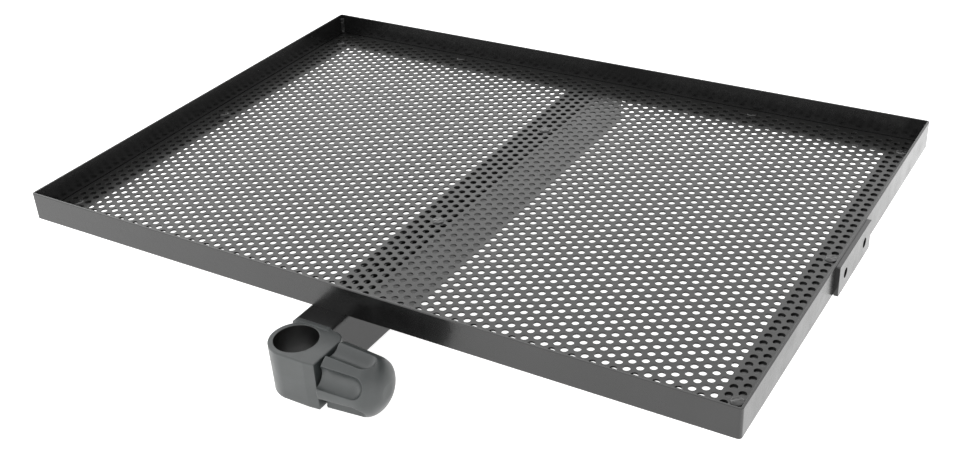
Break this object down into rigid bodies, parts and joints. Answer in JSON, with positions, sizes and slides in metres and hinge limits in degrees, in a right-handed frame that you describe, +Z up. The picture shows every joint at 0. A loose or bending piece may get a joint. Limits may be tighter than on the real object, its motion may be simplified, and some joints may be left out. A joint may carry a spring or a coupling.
{
  "type": "hitch cargo carrier",
  "caption": "Perforated steel tray with a low rim on a square-section arm, ending in a vertical pole clamp tightened by a lobed hand knob.",
  "frame": {"origin": "centre of the clamp's vertical pole bore, at half its height", "axes": "+Z up the pole, +X along the tray's long side towards the knob, +Y from the clamp towards the back of the tray"},
  "size_m": [0.557, 0.4631, 0.061],
  "materials": {
    "black_paint": "semi-gloss black powder coat",
    "black_sheet": "satin black powder coat over perforated sheet",
    "painted_weld": "powder coat over weld bead",
    "grey_plastic": "moulded, fine spark-eroded grain",
    "black_plastic": "moulded, matte",
    "zinc_steel": "zinc plated",
    "brass": "turned"
  },
  "bodies": {
    "tray": {"front_rail": "black_paint", "rear_rail": "black_paint", "left_rail": "black_paint", "right_rail": "black_paint", "corner_weld_front_left": "painted_weld", "corner_weld_front_right": "painted_weld", "corner_weld_back_left": "painted_weld", "corner_weld_back_right": "painted_weld", "mesh_panel": "black_sheet", "mesh_tack_welds": "painted_weld", "support_tube": "black_paint", "tube_end_plug": "black_plastic", "tube_weld_front": "painted_weld", "tube_weld_rear": "painted_weld", "accessory_bracket": "black_paint", "bracket_welds": "painted_weld", "clamp_body": "grey_plastic", "clamp_fixing_screws": "zinc_steel", "threaded_insert": "brass"},
    "pad": {"pressure_pad": "black_plastic"},
    "knob": {"clamp_knob": "grey_plastic", "clamp_screw": "zinc_steel"}
  },
  "joints": [
    {"name": "clamp_feed", "type": "slide", "parent": "tray", "child": "pad", "axis": [-1, 0, 0], "range_m": [-0.00075, 0.00175]},
    {"name": "knob_turn", "type": "hinge", "parent": "pad", "child": "knob", "pos_m": [0.029, 0, 0], "axis": [-1, 0, 0], "range_deg": [-216.5, 504.5]}
  ],
  "couplings": [
    {"joint": "knob_turn", "follows": "clamp_feed", "rad_per_m": 5026.5}
  ]
}
